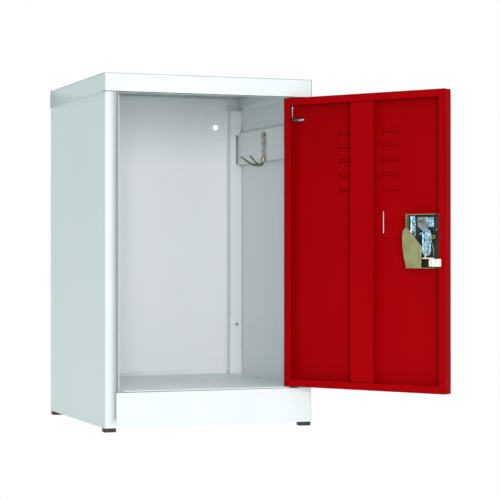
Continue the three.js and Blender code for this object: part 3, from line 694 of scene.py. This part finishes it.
def crossBar(radius, rise, place, turn):  # one tapered bar of the cross in a screw's head
    tool = bmesh.new()
    size = (radius * screwLook["wing"] * 2, radius * screwLook["thin"], 2, 1)
    bar = Matrix.Rotation(turn, 4, "Z") @ Matrix.Diagonal(size)
    made = bmesh.ops.create_cube(tool, size=1, matrix=bar)
    deep = [vert for vert in made["verts"] if vert.co.z < 0]
    bmesh.ops.scale(tool, vec=(0.45, 0.45, 1), verts=deep)
    tool.transform(Matrix.Translation((0, 0, rise + 1 - screwLook["crossDepth"])))
    return looseTool("crossBar", tool, place)


def panScrew(name, node, radius, rise, place, turn):
    head = spunShape(domeProfile(radius, rise), 40)
    piece = keepPiece(name, head, nodes[node]["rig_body"], slotOf[node], [node], place @ turn)
    cutAway(piece, [crossBar(radius, rise, place @ turn, angle) for angle in (0, math.pi / 2)])
    piece.data.shade_smooth()
    piece.modifiers.new("evenShading", "WEIGHTED_NORMAL").keep_sharp = True


outwardX = Matrix.Rotation(-math.pi / 2, 4, "Y")
for node, name in (("hook_screw_upper", "hookScrewUpper"), ("hook_screw_lower", "hookScrewLower")):
    low, high = boxIn(node, cabinetPlace)
    spot = along(low.x + screwLook["hookRise"], (low.y + high.y) / 2, (low.z + high.z) / 2)
    panScrew(name, node, screwLook["hookHead"], screwLook["hookRise"], cabinetPlace,
             spot @ outwardX @ Matrix.Rotation(0.5, 4, "Z"))
low, high = boxIn("bracket_screw", doorPlace)
spot = along((low.x + high.x) / 2, high.y - screwLook["bracketRise"], (low.z + high.z) / 2)
panScrew("bracketScrewHead", "bracket_screw", screwLook["bracketHead"], screwLook["bracketRise"], doorPlace,
         spot @ yAxisUp @ Matrix.Rotation(0.7, 4, "Z"))

rivetLook = {
    "post_rivet_left": {"name": "postRivetLeft", "radius": 3.2, "rise": 1.3, "hole": 1.1,
                        "place": cabinetPlace},
    "post_rivet_right": {"name": "postRivetRight", "radius": 3.2, "rise": 1.3, "hole": 1.1,
                         "place": cabinetPlace},
    "case_rivet": {"name": "caseRivetHead", "radius": 1.6, "rise": 0.9, "hole": 0.5, "place": doorPlace},
    "lever_rivet": {"name": "leverRivetHead", "radius": 4.4, "rise": 1.6, "hole": 1.5, "place": doorPlace},
}
for node, look in rivetLook.items():
    low, high = boxIn(node, look["place"])
    facesBack = look["place"] is cabinetPlace
    face = low.y + look["rise"] if facesBack else high.y - look["rise"]
    turn = yAxisUp.inverted() if facesBack else yAxisUp
    profile = domeProfile(look["radius"], look["rise"], 0.25, 8, look["hole"], look["rise"] * 0.6)
    rivet = spunShape(profile, 40)
    rivet.transform(along((low.x + high.x) / 2, face, (low.z + high.z) / 2, turn))
    keepPiece(look["name"], rivet, nodes[node]["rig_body"], slotOf[node], [node], look["place"])
print("screws and rivets made")

# The lever's pivot stands on a turned spacer below the lever
low, high = boxIn("lever_rivet", doorPlace)
spacer = spunShape([(0, 0), (3.7, 0), (4, 0.3), (4, 3.1), (3.7, 3.4), (1.9, 3.4), (1.9, 6.2), (0, 6.2)], 40)
spacer.transform(along((low.x + high.x) / 2, low.y + 2.1, (low.z + high.z) / 2, yAxisUp))
keepPiece("leverPivotSpacer", spacer, "door", "blue_zinc", (), doorPlace)

low, high = boxIn("return_spring", doorPlace)
latchSpringLook = {"radius": 3.0, "wire": 0.62, "turns": 3.25, "perTurn": 22}


def latchSpringRoute():
    look = latchSpringLook
    centre = Vector((low.x + look["radius"] + 1.6, 0, high.z - look["radius"] - 0.6))
    route = []
    steps = int(look["turns"] * look["perTurn"])
    for step in range(steps + 1):
        angle = -math.pi / 2 + 2 * math.pi * step / look["perTurn"]
        route.append(Vector((centre.x + look["radius"] * math.cos(angle),
                             low.y + 0.8 + 4 * step / steps,
                             centre.z + look["radius"] * math.sin(angle))))
    legDepth = low.y + 4.9
    leg = [Vector((centre.x + 2.1, legDepth, centre.z - 8)), Vector((centre.x - 1, legDepth, centre.z - 18)),
           Vector((centre.x - 2.2, legDepth, low.z + 1))]
    return route[:-1] + smoothRoute([route[-1], *leg], 6)


route = latchSpringRoute()
keepPiece("latchReturnSpring", sweptRod(route, roundedEnds(latchSpringLook["wire"], len(route), 3), 10),
          "door", "yellow_zinc", ["return_spring"], doorPlace)
print("latch spring made")

# Two weld beads at each free corner of the door's lips
weldLook = {"radius": 1.5, "rise": 0.5, "places": [(3.4, 3.6), (7.6, 8.2)]}
low, high = boxIn("door_pan", doorPlace)
for corner, end, away in (("Top", high.z, -1), ("Bottom", low.z, 1)):
    for number, (fromEdge, fromEnd) in enumerate(weldLook["places"], 1):
        bead = spunShape(domeProfile(weldLook["radius"], weldLook["rise"], 0.2), 24)
        bead.transform(along(low.x + fromEdge, high.y, end + away * fromEnd, yAxisUp))
        keepPiece(f"weldBead{corner}{number}", bead, "door", "red_paint", (), doorPlace)
print("weld beads made")

stageLook = {"size": 60, "colour": (0.14, 0.14, 0.14), "glow": 0.72, "shown": 1.0,
             "tint": (0.93, 1, 1, 1)}
floorMesh = bmesh.new()
bmesh.ops.create_grid(floorMesh, x_segments=1, y_segments=1, size=stageLook["size"])
floorMesh.transform(Matrix.Translation((0, 0, cadLow.z - 0.0002)))
floorData = bpy.data.meshes.new("studioFloor")
floorMesh.to_mesh(floorData)
floorMesh.free()
studioFloor = bpy.data.objects.new("studioFloor", floorData)
bpy.context.scene.collection.objects.link(studioFloor)
floorPaint, _, floorShader, _ = startMaterial("studioFloorPaint")
floorShader.inputs["Base Color"].default_value = (*stageLook["colour"], 1)
floorShader.inputs["Roughness"].default_value = 0.9
floorShader.inputs["Specular IOR Level"].default_value = 0.1
floorShader.inputs["Emission Color"].default_value = stageLook["tint"]
floorShader.inputs["Emission Strength"].default_value = stageLook["glow"]
floorNodes = floorPaint.node_tree
shownFloor = floorNodes.nodes.new("ShaderNodeEmission")
shownFloor.inputs["Strength"].default_value = stageLook["shown"]
floorRay = floorNodes.nodes.new("ShaderNodeLightPath")
floorChoice = floorNodes.nodes.new("ShaderNodeMixShader")
floorNodes.links.new(floorRay.outputs["Is Camera Ray"], floorChoice.inputs["Fac"])
floorNodes.links.new(floorShader.outputs["BSDF"], floorChoice.inputs[1])
floorNodes.links.new(shownFloor.outputs["Emission"], floorChoice.inputs[2])
floorNodes.links.new(floorChoice.outputs["Shader"], floorNodes.nodes["Material Output"].inputs["Surface"])
floorData.materials.append(floorPaint)

skyLook = {"colour": (0.83, 0.99, 1.0), "strength": 0.58}
world = bpy.data.worlds.new("studioAir")
world.use_nodes = True
air = world.node_tree
softSky = air.nodes["Background"]
softSky.inputs["Color"].default_value = (*skyLook["colour"], 1)
softSky.inputs["Strength"].default_value = skyLook["strength"]
whiteBack = air.nodes.new("ShaderNodeBackground")
whiteBack.inputs["Color"].default_value = (1, 1, 1, 1)
seen = air.nodes.new("ShaderNodeLightPath")
choice = air.nodes.new("ShaderNodeMixShader")
air.links.new(seen.outputs["Is Camera Ray"], choice.inputs["Fac"])
air.links.new(softSky.outputs["Background"], choice.inputs[1])
air.links.new(whiteBack.outputs["Background"], choice.inputs[2])
air.links.new(choice.outputs["Shader"], air.nodes["World Output"].inputs["Surface"])
bpy.context.scene.world = world

lamps = {
    "frontKey": {"place": (-0.75, -4.3, 0.8), "aim": (0.2, 0.1, 0.3), "size": 1.8, "power": 134,
                 "colour": (1.0, 0.875, 0.885)},
    "topFill": {"place": (0.1, -0.1, 3.2), "aim": (0.17, 0.1, 0.6), "size": 2.2, "power": 45,
                "colour": (1.0, 1.0, 1.0)},
}
for name, look in lamps.items():
    light = bpy.data.lights.new(name, "AREA")
    light.size = look["size"]
    light.energy = look["power"]
    light.color = look["colour"]
    lamp = bpy.data.objects.new(name, light)
    lamp.location = look["place"]
    lamp.rotation_euler = (Vector(look["aim"]) - lamp.location).to_track_quat("-Z", "Y").to_euler()
    bpy.context.scene.collection.objects.link(lamp)

cameraLook = {"place": (-0.83873, -2.96543, 0.30338), "turn": 0.3541674, "tilt": 0.0028307,
              "lens": 128.907, "sensor": 36}
view = bpy.data.cameras.new("studioCamera")
view.lens = cameraLook["lens"]
view.sensor_width = cameraLook["sensor"]
camera = bpy.data.objects.new("studioCamera", view)
camera.location = cameraLook["place"]
camera.rotation_euler = (math.pi / 2 + cameraLook["tilt"], 0, -cameraLook["turn"])
bpy.context.scene.collection.objects.link(camera)
bpy.context.scene.camera = camera
bpy.context.scene.view_settings.view_transform = "Standard"
print("floor, light and camera set")

# Every CAD node gets its finish, whether it shows or a piece stands for it
for name, node in nodes.items():
    node.data.materials.clear()
    node.data.materials.append(finishes[slotOf[name]])
